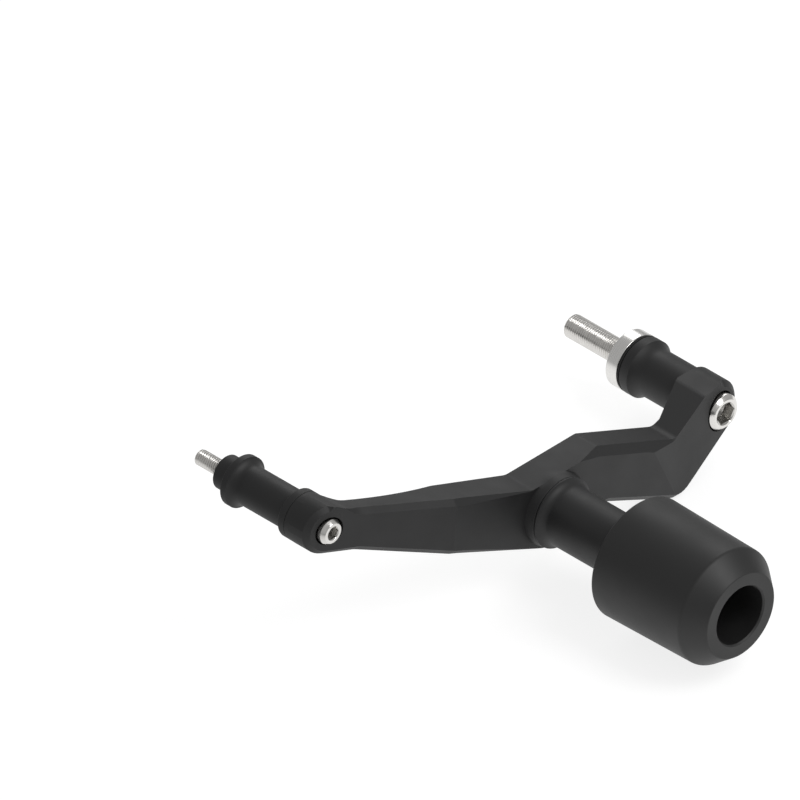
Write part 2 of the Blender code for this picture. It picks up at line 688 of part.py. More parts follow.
def rear_spacer():
    """The spacer on the rear bolt: spigot, flange, tube and end ring in one piece."""
    flange_x = REAR_END_X + REAR_SPIGOT_LENGTH
    ring_x = REAR_BOSS_BACK_X - REAR_END_RING_WIDTH
    top_x = REAR_BOSS_BACK_X - JOINT_GAP
    rim_x = flange_x + REAR_FLANGE_WIDTH
    corners = [
        (REAR_HOLE_RADIUS, top_x, 0.0),
        (REAR_BOSS_RADIUS, top_x, 0.0),
        (REAR_BOSS_RADIUS, ring_x, REAR_END_RING_EDGE),
        (REAR_TUBE_RADIUS, ring_x, 0.0),
    ]
    corners += flare(REAR_TUBE_RADIUS, REAR_FLANGE_RADIUS, REAR_SPACER_FILLET, rim_x, 1)
    corners += [
        (REAR_FLANGE_RADIUS, flange_x, REAR_FLANGE_EDGE),
        (REAR_SPIGOT_RADIUS, flange_x, 0.0),
        (REAR_SPIGOT_RADIUS, REAR_END_X, 0.0),
        (REAR_HOLE_RADIUS, REAR_END_X, 0.0),
    ]
    turned("rear_spacer", corners, REAR_AXIS, anodised("rear_spacer_anodised"))


def slider_post():
    """The post: a flared tube, with a spigot that runs through the bobbin to its screw."""
    seat_x = BOBBIN_REAR_X + POST_END_DEPTH - JOINT_GAP
    tip_x = BOBBIN_FLOOR_X - JOINT_GAP
    base_x = POST_BASE_X + JOINT_GAP
    corners = [
        (SCREW_HOLE_RADIUS, tip_x, 0.0),
        (POST_SPIGOT_RADIUS, tip_x, 0.0),
        (POST_SPIGOT_RADIUS, seat_x, 0.0),
        (POST_END_RADIUS, seat_x, 0.0),
    ]
    corners += flare(POST_RADIUS, POST_END_RADIUS, POST_END_FILLET, BOBBIN_REAR_X, -1)
    corners += flare(POST_RADIUS, POST_RIM_RADIUS, POST_FILLET, base_x + POST_RIM, 1)
    corners += [(POST_RIM_RADIUS, base_x, 0.0), (SCREW_HOLE_RADIUS, base_x, 0.0)]
    turned("slider_post", corners, POST_AXIS, anodised("post_anodised"))


def slider_bobbin():
    """The plastic bobbin, with its chamfered nose, its tool hole and the recess for the post's end."""
    nose_radius = BOBBIN_RADIUS - BOBBIN_TAPER
    face_radius = nose_radius - BOBBIN_NOSE_DROP
    recess_radius = POST_END_RADIUS + HOLE_CLEARANCE
    recess_x = BOBBIN_REAR_X + POST_END_DEPTH
    corners = [
        (BOBBIN_HOLE_RADIUS + BOBBIN_HOLE_EDGE, BOBBIN_FACE_X, 0.0),
        (face_radius, BOBBIN_FACE_X, 0.0),
        (nose_radius, BOBBIN_FACE_X - BOBBIN_NOSE_LENGTH, BOBBIN_NOSE_EDGE),
        (BOBBIN_RADIUS, BOBBIN_REAR_X, BOBBIN_REAR_EDGE),
        (recess_radius, BOBBIN_REAR_X, 0.0),
        (recess_radius, recess_x, 0.0),
        (SPIGOT_HOLE_RADIUS, recess_x, 0.0),
        (SPIGOT_HOLE_RADIUS, BOBBIN_FLOOR_X, 0.0),
        (BOBBIN_HOLE_RADIUS, BOBBIN_FLOOR_X, 0.0),
        (BOBBIN_HOLE_RADIUS, BOBBIN_FACE_X - BOBBIN_HOLE_EDGE, 0.0),
    ]
    plastic = finish("matt_black_plastic", (0.022, 0.022, 0.022), 0.48, 0.0)
    turned("slider_bobbin", corners, POST_AXIS, plastic, LARGE_STEPS)


def bobbin_washer():
    """The washer under the head of the bobbin's screw."""
    corners = [
        (SCREW_HOLE_RADIUS, BOBBIN_SEAT_X, 0.0),
        (WASHER_RADIUS, BOBBIN_SEAT_X, 0.0),
        (WASHER_RADIUS, WASHER_X, 0.0),
        (SCREW_HOLE_RADIUS, WASHER_X, 0.0),
    ]
    turned("bobbin_washer", corners, POST_AXIS, finish("zinc_plating", (0.50, 0.50, 0.52), 0.35, 1.0))


MAIN_HEAD = (MAIN_HEAD_RADIUS, MAIN_HEAD_HEIGHT, MAIN_HEAD_EDGE)
REAR_HEAD = (REAR_HEAD_RADIUS, REAR_HEAD_HEIGHT, REAR_HEAD_EDGE)
MAIN_DRIVE = (MAIN_HEXAGON, MAIN_SOCKET_DEPTH)
REAR_DRIVE = (REAR_HEXAGON, REAR_SOCKET_DEPTH)

mounting_arm()
slider_post()
slider_bobbin()
bobbin_washer()
main_collar()
seal_ring()
main_spacer()
rear_spacer()
cap_screw("main_bolt", MAIN_AXIS, MAIN_SEAT_X, MAIN_SCREW_LENGTH, MAIN_THREAD_RADIUS, MAIN_HEAD, *MAIN_DRIVE)
cap_screw("rear_bolt", REAR_AXIS, REAR_SEAT_X, REAR_SCREW_LENGTH, REAR_THREAD_RADIUS, REAR_HEAD, *REAR_DRIVE)
cap_screw(
    "bobbin_bolt", POST_AXIS, BOBBIN_SEAT_X, BOBBIN_SCREW_LENGTH, MAIN_THREAD_RADIUS, MAIN_HEAD, *MAIN_DRIVE
)
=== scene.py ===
import math

import bmesh
import bpy
from mathutils import Matrix, Vector

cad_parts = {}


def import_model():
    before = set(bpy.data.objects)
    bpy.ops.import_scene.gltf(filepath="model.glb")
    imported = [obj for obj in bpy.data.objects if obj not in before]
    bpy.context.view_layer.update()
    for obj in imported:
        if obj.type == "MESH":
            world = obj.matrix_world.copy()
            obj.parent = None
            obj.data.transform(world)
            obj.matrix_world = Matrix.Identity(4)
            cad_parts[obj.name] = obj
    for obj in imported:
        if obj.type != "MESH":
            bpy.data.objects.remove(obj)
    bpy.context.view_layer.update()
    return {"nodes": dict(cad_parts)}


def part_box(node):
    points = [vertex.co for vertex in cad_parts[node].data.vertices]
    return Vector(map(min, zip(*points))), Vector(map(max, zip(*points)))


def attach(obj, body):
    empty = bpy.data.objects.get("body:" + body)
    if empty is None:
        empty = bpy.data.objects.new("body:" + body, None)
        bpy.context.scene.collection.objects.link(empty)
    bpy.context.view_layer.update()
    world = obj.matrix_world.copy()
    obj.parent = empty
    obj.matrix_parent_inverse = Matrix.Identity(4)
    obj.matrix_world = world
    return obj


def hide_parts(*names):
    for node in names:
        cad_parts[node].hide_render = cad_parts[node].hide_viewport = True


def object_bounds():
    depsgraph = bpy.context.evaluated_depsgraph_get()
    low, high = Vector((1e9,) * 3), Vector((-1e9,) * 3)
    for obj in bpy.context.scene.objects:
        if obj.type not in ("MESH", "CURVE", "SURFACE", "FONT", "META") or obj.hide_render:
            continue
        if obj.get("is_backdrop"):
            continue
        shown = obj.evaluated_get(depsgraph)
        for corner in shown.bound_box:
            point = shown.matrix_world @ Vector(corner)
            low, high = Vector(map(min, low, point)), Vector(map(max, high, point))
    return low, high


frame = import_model()

# The isometric camera: metres across the picture, and the point at its centre
VIEW_WIDTH = 0.3687
VIEW_CENTRE = Vector((-0.0298, -0.1183, 0.0200))
TO_CAMERA = Vector((1.0, -1.0, 1.0)).normalized()
CAMERA_DISTANCE = 1.5
CAMERA_REACH = 20.0

# Smoothness of turned pieces: steps round the axis, and steps in the arcs of their sections
ROUND_STEPS = 160
LARGE_STEPS = 240
HEAD_STEPS = 288
THREAD_STEPS = 48
FLARE_STEPS = 12
ARC_STEP = math.radians(9.0)
LEAST_ARC_STEPS = 3
SHARP_ANGLE = math.radians(34.0)

# The most that a rounding takes of each side of its corner
SIDE_SHARE = 0.48

# Points of a turned piece that lie closer together than this are merged
WELD = 0.000001

# How far a piece's seat reaches over the joint to its neighbour, so that no light shows through
SEAT = 0.00028

# Radii of the bores for M12 and M8 screws
M12_BORE = 0.0064
M8_BORE = 0.0044


# Materials

# The part of a noise texture's values that is spread over a range or a blend
NOISE_LOW = 0.3
NOISE_HIGH = 0.7

# Heights of the reliefs in the bumps
FINE_RELIEF = 0.00002
COARSE_RELIEF = 0.00003

# Steel: how dark its lines are, and how far its roughness varies below and above the mean
STEEL_LINES = 0.90
STEEL_SMOOTHER = 0.05
STEEL_ROUGHER = 0.06

# How the noise is stretched along X, Y and Z on the screws, the collar and the zinc plating
SCREW_LINES = (700.0, 300.0, 300.0)
COLLAR_LINES = (5000.0, 120.0, 120.0)
ZINC_GRAIN = (900.0, 900.0, 900.0)


def node_material(name, colour, roughness, metallic=0.0):
    """A new node material, returned with its tree and its Principled shader."""
    material = bpy.data.materials.new(name)
    material.use_nodes = True
    tree = material.node_tree
    shader = tree.nodes["Principled BSDF"]
    shader.inputs["Base Color"].default_value = (*colour, 1.0)
    shader.inputs["Roughness"].default_value = roughness
    shader.inputs["Metallic"].default_value = metallic
    return material, tree, shader


def object_noise(tree, scale, detail=2.0, stretch=(1.0, 1.0, 1.0)):
    """The value of a noise texture in the object's own coordinates."""
    coordinates = tree.nodes.new("ShaderNodeTexCoord")
    mapping = tree.nodes.new("ShaderNodeMapping")
    mapping.inputs["Scale"].default_value = stretch
    noise = tree.nodes.new("ShaderNodeTexNoise")
    noise.inputs["Scale"].default_value = scale
    noise.inputs["Detail"].default_value = detail
    tree.links.new(coordinates.outputs["Object"], mapping.inputs["Vector"])
    tree.links.new(mapping.outputs["Vector"], noise.inputs["Vector"])
    return noise.outputs["Fac"]


def vary_roughness(tree, shader, source, low, high):
    """Spreads the shader's roughness over a range by a texture's value."""
    spread = tree.nodes.new("ShaderNodeMapRange")
    spread.inputs["From Min"].default_value = NOISE_LOW
    spread.inputs["From Max"].default_value = NOISE_HIGH
    spread.inputs["To Min"].default_value = low
    spread.inputs["To Max"].default_value = high
    tree.links.new(source, spread.inputs["Value"])
    tree.links.new(spread.outputs["Result"], shader.inputs["Roughness"])


def vary_colour(tree, shader, source, dark, light):
    """Blends the shader's colour between two colours by a texture's value."""
    blend = tree.nodes.new("ShaderNodeValToRGB")
    blend.color_ramp.elements[0].position = NOISE_LOW
    blend.color_ramp.elements[0].color = (*dark, 1.0)
    blend.color_ramp.elements[1].position = NOISE_HIGH
    blend.color_ramp.elements[1].color = (*light, 1.0)
    tree.links.new(source, blend.inputs["Fac"])
    tree.links.new(blend.outputs["Color"], shader.inputs["Base Color"])


def bump(tree, shader, source, distance, strength):
    """Adds a bump from a texture's value."""
    relief = tree.nodes.new("ShaderNodeBump")
    relief.inputs["Distance"].default_value = distance
    relief.inputs["Strength"].default_value = strength
    tree.links.new(source, relief.inputs["Height"])
    tree.links.new(relief.outputs["Normal"], shader.inputs["Normal"])


def black_anodised(name, turned_finish):
    """Satin black anodising: a fine blasted grain, or faint tool rings on turned pieces."""
    material, tree, shader = node_material(name, (0.0055, 0.0055, 0.0058), roughness=0.58)
    shader.inputs["Specular IOR Level"].default_value = 0.58
    cloud = object_noise(tree, scale=60.0, detail=3.0)
    vary_colour(tree, shader, cloud, dark=(0.0045, 0.0045, 0.0048), light=(0.0065, 0.0065, 0.0068))
    vary_roughness(tree, shader, cloud, low=0.54, high=0.61)
    if turned_finish:
        grain = object_noise(tree, scale=1.0, stretch=(5200.0, 60.0, 60.0))
        bump(tree, shader, grain, FINE_RELIEF, strength=0.25)
    else:
        grain = object_noise(tree, scale=3600.0)
        bump(tree, shader, grain, FINE_RELIEF, strength=0.30)
    return material


def black_plastic():
    """Matt black engineering plastic, turned: fine rings round the axis and a faint mottling."""
    material, tree, shader = node_material("bobbin_plastic", (0.007, 0.007, 0.007), roughness=0.55)
    shader.inputs["Specular IOR Level"].default_value = 0.60
    cloud = object_noise(tree, scale=45.0, detail=4.0)
    vary_colour(tree, shader, cloud, dark=(0.0058, 0.0058, 0.0058), light=(0.0082, 0.0082, 0.0082))
    vary_roughness(tree, shader, cloud, low=0.52, high=0.60)
    rings = object_noise(tree, scale=1.0, detail=3.0, stretch=(3400.0, 25.0, 25.0))
    bump(tree, shader, rings, COARSE_RELIEF, strength=0.25)
    return material


def black_rubber():
    """The seal ring's rubber."""
    material, tree, shader = node_material("seal_rubber", (0.006, 0.006, 0.006), roughness=0.75)
    grain = object_noise(tree, scale=2200.0)
    vary_colour(tree, shader, grain, dark=(0.004, 0.004, 0.004), light=(0.008, 0.008, 0.008))
    bump(tree, shader, grain, COARSE_RELIEF, strength=0.3)
    return material


def bright_steel(name, colour, stretch, roughness, relief):
    """Bright steel with fine machining lines. The stretch sets how long and in which way they run."""
    material, tree, shader = node_material(name, colour, roughness, metallic=1.0)
    lines = object_noise(tree, scale=1.0, detail=3.0, stretch=stretch)
    vary_colour(tree, shader, lines, tuple(STEEL_LINES * value for value in colour), colour)
    vary_roughness(tree, shader, lines, roughness - STEEL_SMOOTHER, roughness + STEEL_ROUGHER)
    bump(tree, shader, lines, FINE_RELIEF, strength=relief)
    return material


ARM_FINISH = black_anodised("arm_anodised", False)
TURNED_FINISH = black_anodised("turned_anodised", True)
PLASTIC = black_plastic()
RUBBER = black_rubber()
STEEL = bright_steel("screw_steel", (0.77, 0.755, 0.73), SCREW_LINES, roughness=0.21, relief=0.02)
# Darker steel for the sockets: painted shade in the hexagon's hollow
SOCKET_SHADE_STEEL = bright_steel("socket_painted_shade", (0.56, 0.55, 0.53), SCREW_LINES, roughness=0.24, relief=0.02)
COLLAR_STEEL = bright_steel("collar_steel", (0.82, 0.81, 0.79), COLLAR_LINES, roughness=0.26, relief=0.15)
ZINC = bright_steel("zinc_plating", (0.52, 0.52, 0.54), ZINC_GRAIN, roughness=0.34, relief=0.15)


# Mesh building

def put(mesh, name, material, node, sharp_angle=SHARP_ANGLE):
    """Adds a mesh as a piece that stands for a CAD node."""
    piece = bpy.data.objects.new(name, mesh)
    bpy.context.scene.collection.objects.link(piece)
    mesh.materials.append(material)
    mesh.shade_smooth()
    mesh.set_sharp_from_angle(angle=sharp_angle)
    weighted = piece.modifiers.new("weighted_normals", "WEIGHTED_NORMAL")
    weighted.mode = "FACE_AREA"
    weighted.keep_sharp = True
    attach(piece, "root")
    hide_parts(node)


def rounded(corners):
    """Replaces each corner (radius, x, rounding) of a section by an arc. A rounding of 0 keeps it."""
    section = []
    for index, (radius, x, rounding) in enumerate(corners):
        corner = Vector((radius, x))
        if rounding == 0.0:
            section.append(corner)
            continue
        before = Vector(corners[index - 1][:2]) - corner
        after = Vector(corners[(index + 1) % len(corners)][:2]) - corner
        half = before.angle(after) / 2.0
        reach = min(rounding / math.tan(half), SIDE_SHARE * before.length, SIDE_SHARE * after.length)
        middle = (before.normalized() + after.normalized()).normalized()
        centre = corner + middle * reach / math.cos(half)
        spoke = corner + before.normalized() * reach - centre
        turn = math.copysign(math.pi - 2.0 * half, before.cross(after))
        steps = max(LEAST_ARC_STEPS, round(abs(turn) / ARC_STEP))
        for step in range(steps + 1):
            section.append(centre + Matrix.Rotation(-turn * step / steps, 2) @ spoke)
    return section


def ring_mesh(name, rings, closed):
    """Joins rings of equally many points. A closed set of rings joins the last to the first."""
    shape = bmesh.new()
    rows = [[shape.verts.new(point) for point in ring] for ring in rings]
    pairs = list(zip(rows, rows[1:]))
    if closed:
        pairs.append((rows[-1], rows[0]))
    else:
        shape.faces.new(rows[0])
        shape.faces.new(rows[-1])
    count = len(rows[0])
    for first, second in pairs:
        for step in range(count):
            following = (step + 1) % count
            shape.faces.new((first[step], first[following], second[following], second[step]))
    bmesh.ops.remove_doubles(shape, verts=shape.verts, dist=WELD)
    bmesh.ops.recalc_face_normals(shape, faces=shape.faces)
    mesh = bpy.data.meshes.new(name)
    shape.to_mesh(mesh)
    shape.free()
    return mesh


def around(axis, x, radius, angle):
    """The point at an angle and a radius from an axis parallel to X."""
    return Vector((x, axis[0] + radius * math.cos(angle), axis[1] + radius * math.sin(angle)))


def circle(axis, x, radius_at, steps):
    """A ring of points round an axis, with a radius for each angle."""
    angles = [math.tau * step / steps for step in range(steps)]
    return [around(axis, x, radius_at(angle), angle) for angle in angles]


def round_at(radius):
    """The same radius for every angle."""
    return lambda angle: radius


def turned(name, corners, axis, material, node, steps=ROUND_STEPS):
    """A turned ring from the corners (radius, x, rounding) of its closed section."""
    rings = [circle(axis, point.y, round_at(point.x), steps) for point in rounded(corners)]
    put(ring_mesh(name, rings, True), name, material, node)


def flare(tube_radius, rim_radius, fillet, x, way):
    """Corners of a hollow fillet between a rim at x and a tube, which lies on the +X side if way is 1."""
    height = min(rim_radius - tube_radius, fillet)
    sweep = math.acos(1.0 - height / fillet)
    tube_x = x + way * fillet * math.sin(sweep)
    corners = []
    for step in range(FLARE_STEPS + 1):
        angle = sweep * step / FLARE_STEPS
        radius = tube_radius + fillet * (1.0 - math.cos(angle))
        corners.append((radius, tube_x - way * fillet * math.sin(angle), 0.0))
    return corners[::way]


def axis_of(node):
    """The Y and Z of a turned node's axis."""
    low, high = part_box(node)
    return ((low.y + high.y) / 2.0, (low.z + high.z) / 2.0)


# Turned pieces: the solids' sections with rounded edges, and seats that reach over the joints

def post():
    """The flared post. Its spigot runs into the bobbin."""
    low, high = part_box("slider_post")
    bobbin_low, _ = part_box("slider_bobbin")
    base_x = low.x
    base_top = base_x + 0.0008
    end_x = bobbin_low.x
    shoulder = end_x + 0.0047
    tube = 0.0150
    spigot = 0.0098
    end_rim = 0.0183
    base_rim = 0.0180
    seat = 0.0172
    corners = [
        (M12_BORE, high.x, 0.0),
        (spigot, high.x, 0.0003),
        (spigot, shoulder, 0.0),
        (end_rim, shoulder, 0.0),
    ]
    corners += flare(tube, end_rim, fillet=0.0045, x=end_x, way=-1)
    corners += flare(tube, base_rim, fillet=0.0050, x=base_top, way=1)[:-1]
    corners += [
        (base_rim, base_top, 0.0002),
        (base_rim, base_x, 0.00015),
        (seat, base_x, 0.0),
        (seat, base_x - SEAT, 0.0),
        (M12_BORE, base_x - SEAT, 0.0),
    ]
    axis = axis_of("slider_post")
    turned("post_turned", corners, axis, TURNED_FINISH, "slider_post")


def bobbin():
    """The plastic bobbin, with its tool hole in front and the post's recess behind."""
    low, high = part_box("slider_bobbin")
    rear = low.x
    face = high.x
    nose_end = face - 0.0106
    hole_mouth = face - 0.0008
    hole_floor = rear + 0.0250
    recess_floor = rear + 0.0050
    nose = 0.0219
    shoulder = 0.0299
    rear_edge = 0.0309
    tool_hole = 0.0150
    flared_hole = 0.0158
    post_recess = 0.0187
    spigot_hole = 0.0102
    corners = [
        (flared_hole, face, 0.0003),
        (nose, face, 0.0008),
        (shoulder, nose_end, 0.0030),
        (rear_edge, rear, 0.0013),
        (post_recess, rear, 0.0003),
        (post_recess, recess_floor, 0.0),
        (spigot_hole, recess_floor, 0.0),
        (spigot_hole, hole_floor, 0.0),
        (tool_hole, hole_floor, 0.0002),
        (tool_hole, hole_mouth, 0.0003),
    ]
    axis = axis_of("slider_bobbin")
    turned("bobbin_turned", corners, axis, PLASTIC, "slider_bobbin", LARGE_STEPS)


def main_stack():
    """Collar, seal ring and spacer on the main screw."""
    axis = axis_of("main_collar")
    low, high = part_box("main_collar")
    collar_end = 0.0071
    flange = 0.0145
    spigot = 0.0115
    corners = [
        (M12_BORE, high.x, 0.0),
        (spigot, high.x, 0.0),
        (spigot, collar_end, 0.0),
        (flange, collar_end, 0.0004),
        (flange, low.x, 0.0006),
        (M12_BORE, low.x, 0.0004),
    ]
    turned("collar_turned", corners, axis, COLLAR_STEEL, "main_collar")
    low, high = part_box("seal_ring")
    hole = 0.0118
    rim = 0.0144
    seat = 0.0136
    corners = [
        (hole, low.x - SEAT, 0.0),
        (hole, high.x, 0.0),
        (rim, high.x, 0.0003),
        (rim, low.x, 0.0003),
        (seat, low.x, 0.0),
        (seat, low.x - SEAT, 0.0),
    ]
    turned("seal_turned", corners, axis, RUBBER, "seal_ring")
    low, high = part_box("main_spacer")
    flange_top = low.x + 0.0052
    tube = 0.0120
    arm_seat = 0.0112
    seal_seat = 0.0135
    corners = [
        (M12_BORE, high.x + SEAT, 0.0),
        (arm_seat, high.x + SEAT, 0.0),
        (arm_seat, high.x, 0.0),
        (tube, high.x, 0.0002),
    ]
    corners += flare(tube, flange, fillet=0.0090, x=flange_top, way=1)
    corners += [
        (flange, low.x, 0.0010),
        (seal_seat, low.x, 0.0),
        (seal_seat, low.x - SEAT, 0.0),
        (M12_BORE, low.x - SEAT, 0.0),
    ]
    turned("main_spacer_turned", corners, axis, TURNED_FINISH, "main_spacer")


def rear_stack():
    """The rear spacer: spigot, flange, tube and end ring."""
    low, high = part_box("rear_spacer")
    flange_x = low.x + 0.0090
    flange_top = flange_x + 0.0035
    end_x = high.x - 0.0044
    spigot = 0.0087
    flange = 0.0130
    tube = 0.0099
    end_ring = 0.01245
    seat = 0.0116
    corners = [
        (M8_BORE, high.x + SEAT, 0.0),
        (seat, high.x + SEAT, 0.0),
        (seat, high.x, 0.0),
        (end_ring, high.x, 0.0002),
        (end_ring, end_x, 0.0010),
        (tube, end_x, 0.0002),
    ]
    corners += flare(tube, flange, fillet=0.0052, x=flange_top, way=1)
    corners += [
        (flange, flange_x, 0.0005),
        (spigot, flange_x, 0.0002),
        (spigot, low.x, 0.0005),
        (M8_BORE, low.x, 0.0003),
    ]
    axis = axis_of("rear_spacer")
    turned("rear_spacer_turned", corners, axis, TURNED_FINISH, "rear_spacer")


def washer():
    """The washer under the bobbin's screw."""
    low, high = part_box("bobbin_washer")
    rim = 0.0120
    corners = [
        (M12_BORE, high.x, 0.0002),
        (rim, high.x, 0.0003),
        (rim, low.x, 0.0003),
        (M12_BORE, low.x, 0.0002),
    ]
    turned("washer_turned", corners, axis_of("bobbin_washer"), ZINC, "bobbin_washer")


# Screws

# Socket heads, with the chamfer's width across and along the axis, and the hexagon's flats and depth
M12_HEAD = {
    "radius": 0.0090,
    "height": 0.0120,
    "across": 0.0017,
    "along": 0.0017,
    "flats": 0.0100,
    "depth": 0.0060,
}
M8_HEAD = {
    "radius": 0.0065,
    "height": 0.0080,
    "across": 0.0013,
    "along": 0.0021,
    "flats": 0.0060,
    "depth": 0.0045,
}

# Threads: radius and pitch
M12_THREAD = (0.0060, 0.00125)
M8_THREAD = (0.0040, 0.00125)

# Slopes of a rounded 60 degree thread, in even steps over one pitch
THREAD_SLOPES = (0.58, 1.50, 1.73, 1.50, 0.58, 0.0, -0.58, -1.50, -1.73, -1.50, -0.58, 0.0)
TIP_CHAMFER = 0.0005
SHANK_RELIEF = 0.00012

# Points of the head's lower edge: above its base, and inside its side
UNDER_EDGE = ((0.0, 0.0004), (0.0003, 0.0001))
EDGE_ROUNDING = 0.0004
KNURLS = HEAD_STEPS // 4
KNURL_DEPTH = 0.00012
KNURL_START = 0.0006
KNURL_STOP = 0.0005
KNURL_RUNOUT = 0.0001

# The socket: its broken mouth, the lead-in's share, and the hollow floor's rim and point
MOUTH_BREAK = 0.0001
LEAD_SHARE = 0.4
FLOOR_DROP = 0.0002
FLOOR_SHARE = 0.94
POINT_SHARE = 0.12
POINT_RADIUS = 0.0003

# How far in the darker steel reaches, by the hexagon's depth and flats: painted shade in the socket's
# hollow
SOCKET_SHADE_REACH = 1.3
SOCKET_SHADE_WIDTH = 0.58


def thread_rings(axis, tip_x, end_x, radius, pitch):
    """Rings along a helix: crests and roots, cut off square at both ends, with a chamfer at the tip."""
    samples = len(THREAD_SLOPES)
    depths = [sum(THREAD_SLOPES[:index]) * pitch / samples for index in range(samples)]
    turns = (end_x - tip_x) / pitch
    rings = []
    for index in range(int(turns * samples) + samples + 1):
        ring = []
        for step in range(THREAD_STEPS):
            x = tip_x + (index / samples - 1.0 + step / THREAD_STEPS) * pitch
            held = min(max(x, tip_x), end_x)
            cone = radius - TIP_CHAMFER + (held - tip_x)
            level = min(radius - depths[index % samples], cone)
            ring.append(around(axis, held, level, math.tau * step / THREAD_STEPS))
        rings.append(ring)
    return rings


def screw_head(axis, top_x, shank_radius, shank_end, head):
    """Rings of a socket head from the shank to the bottom of its hexagon."""
    radius = head["radius"]
    flats = head["flats"]
    base_x = top_x - head["height"]
    side_end = top_x - head["along"]
    knurl_end = side_end - KNURL_STOP
    mouth = flats / math.sqrt(3.0) + MOUTH_BREAK
    mouth_x = top_x - MOUTH_BREAK
    lead = mouth - 0.5 * flats
    floor_x = top_x - head["depth"]

    def knurled(angle):
        return radius - KNURL_DEPTH * (0.5 - 0.5 * math.cos(KNURLS * angle))

    def hexed(angle):
        return 0.5 * flats / math.cos(angle % math.radians(60.0) - math.radians(30.0))

    edge = rounded([
        (mouth, side_end, 0.0),
        (mouth, top_x, 0.0),
        (radius - head["across"], top_x, EDGE_ROUNDING),
        (radius, side_end, EDGE_ROUNDING),
        (radius, knurl_end + KNURL_RUNOUT, 0.0),
    ])
    section = [(shank_end, round_at(shank_radius)), (base_x, round_at(shank_radius))]
    section += [(base_x + above, round_at(radius - inside)) for above, inside in UNDER_EDGE]
    section += [(base_x + KNURL_START, knurled), (knurl_end, knurled)]
    section += [(point.y, round_at(point.x)) for point in reversed(edge[2:])]
    section += [
        (top_x, round_at(mouth + MOUTH_BREAK)),
        (mouth_x, round_at(mouth)),
        (mouth_x - LEAD_SHARE * lead, hexed),
        (floor_x, hexed),
        (floor_x - FLOOR_DROP, round_at(0.5 * flats * FLOOR_SHARE)),
        (floor_x - POINT_SHARE * flats, round_at(POINT_RADIUS)),
    ]
    return [circle(axis, x, radius_at, HEAD_STEPS) for x, radius_at in section]


def screw(name, node, head, thread, thread_length):
    """A socket head cap screw with a rolled thread, and darker steel in its socket as painted shade for
    the hollow.
    """
    low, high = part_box(node)
    axis = axis_of(node)
    radius, pitch = thread
    thread_end = low.x + thread_length
    head_rings = screw_head(axis, high.x, radius - SHANK_RELIEF, thread_end - pitch, head)
    head_mesh = ring_mesh(name, head_rings, False)
    thread_mesh = ring_mesh(name + "_thread", thread_rings(axis, low.x, thread_end, radius, pitch), False)
    shape = bmesh.new()
    shape.from_mesh(head_mesh)
    shape.from_mesh(thread_mesh)
    shape.to_mesh(head_mesh)
    shape.free()
    bpy.data.meshes.remove(thread_mesh)
    put(head_mesh, name, STEEL, node)
    head_mesh.materials.append(SOCKET_SHADE_STEEL)
    # Faces inside the socket take the darker steel: painted shade in the hollow
    shade_depth = SOCKET_SHADE_REACH * head["depth"]
    shade_radius = SOCKET_SHADE_WIDTH * head["flats"]
    for face in head_mesh.polygons:
        away = Vector((face.center.y - axis[0], face.center.z - axis[1]))
        sunk = high.x - face.center.x
        if MOUTH_BREAK < sunk < shade_depth and away.length < shade_radius:
            face.material_index = 1


# The arm

# Points of the solid's mesh closer together than this are merged, and faces flatter than this are joined
ARM_WELD = 0.000004
FLAT_ANGLE = math.radians(0.6)
ARM_SHARP_ANGLE = math.radians(10.2)

# The back's two faces meet at a bend, which is rounded over a length on either side
BACK_X = 0.0520
BACK_BEND_Y = -0.2050
BACK_SLOPE = 0.25
BACK_BLEND = 0.0230
BACK_CUTS = 14

# How near to a cut, or to the back, a point has to lie to count as on it
CUT_REACH = 0.000002
BACK_REACH = 0.00003

# A point (y, z) of the arm's top edge, and its slope
ARM_TOP = (-0.1315, 0.02521)
ARM_TOP_SLOPE = 0.0007 / 0.0455

# The round boss for the post, and the root where it meets the arm's front
BOSS_RADIUS = 0.0180
BOSS_ROOT = 0.0010
BOSS_ROOT_X = 0.0697
BOSS_END_X = 0.0739
LEAST_ROOT = 0.00005

# How far outside the root a point still counts as part of it: inwards, outwards and along X
INNER_REACH = 0.00001
OUTER_REACH = 0.00005
ALONG_REACH = 0.00002


def round_back(shape):
    """Turns the back's bend into a long arc, which the milled arm has."""
    start = BACK_BEND_Y - BACK_BLEND
    for step in range(BACK_CUTS + 1):
        cut_y = start + 2.0 * BACK_BLEND * step / BACK_CUTS
        parts = list(shape.verts) + list(shape.edges) + list(shape.faces)
        plane = {"plane_co": (0.0, cut_y, 0.0), "plane_no": (0.0, 1.0, 0.0)}
        bmesh.ops.bisect_plane(shape, geom=parts, dist=CUT_REACH, **plane)
    for vert in shape.verts:
        away = vert.co.y - BACK_BEND_Y
        back_x = BACK_X + BACK_SLOPE * min(away, 0.0)
        if abs(away) < BACK_BLEND and abs(vert.co.x - back_x) < BACK_REACH:
            vert.co.x = BACK_X - BACK_SLOPE * (BACK_BLEND - away) ** 2 / (4.0 * BACK_BLEND)


def ease_boss(shape):
    """Turns the post boss's root into one even slope, which rises just above the arm's top."""
    axis_y, axis_z = axis_of("slider_post")
    for vert in shape.verts:
        along = Vector((vert.co.y - axis_y, vert.co.z - axis_z))
        radius = along.length
        if not BOSS_RADIUS - INNER_REACH < radius < BOSS_RADIUS + BOSS_ROOT + OUTER_REACH:
            continue
        if not BOSS_ROOT_X - ALONG_REACH < vert.co.x < BOSS_END_X + ALONG_REACH:
            continue
        root = BOSS_ROOT
        if along.y > 0.0:
            top = ARM_TOP[1] + ARM_TOP_SLOPE * (vert.co.y - ARM_TOP[0]) + LEAST_ROOT
            over_top = (top - axis_z) * radius / along.y - BOSS_RADIUS
            root = min(BOSS_ROOT, max(LEAST_ROOT, over_top))
        share = (BOSS_END_X - vert.co.x) / (BOSS_END_X - BOSS_ROOT_X)
        scaled = along * ((BOSS_RADIUS + root * share) / radius)
        vert.co.y = axis_y + scaled.x
        vert.co.z = axis_z + scaled.y


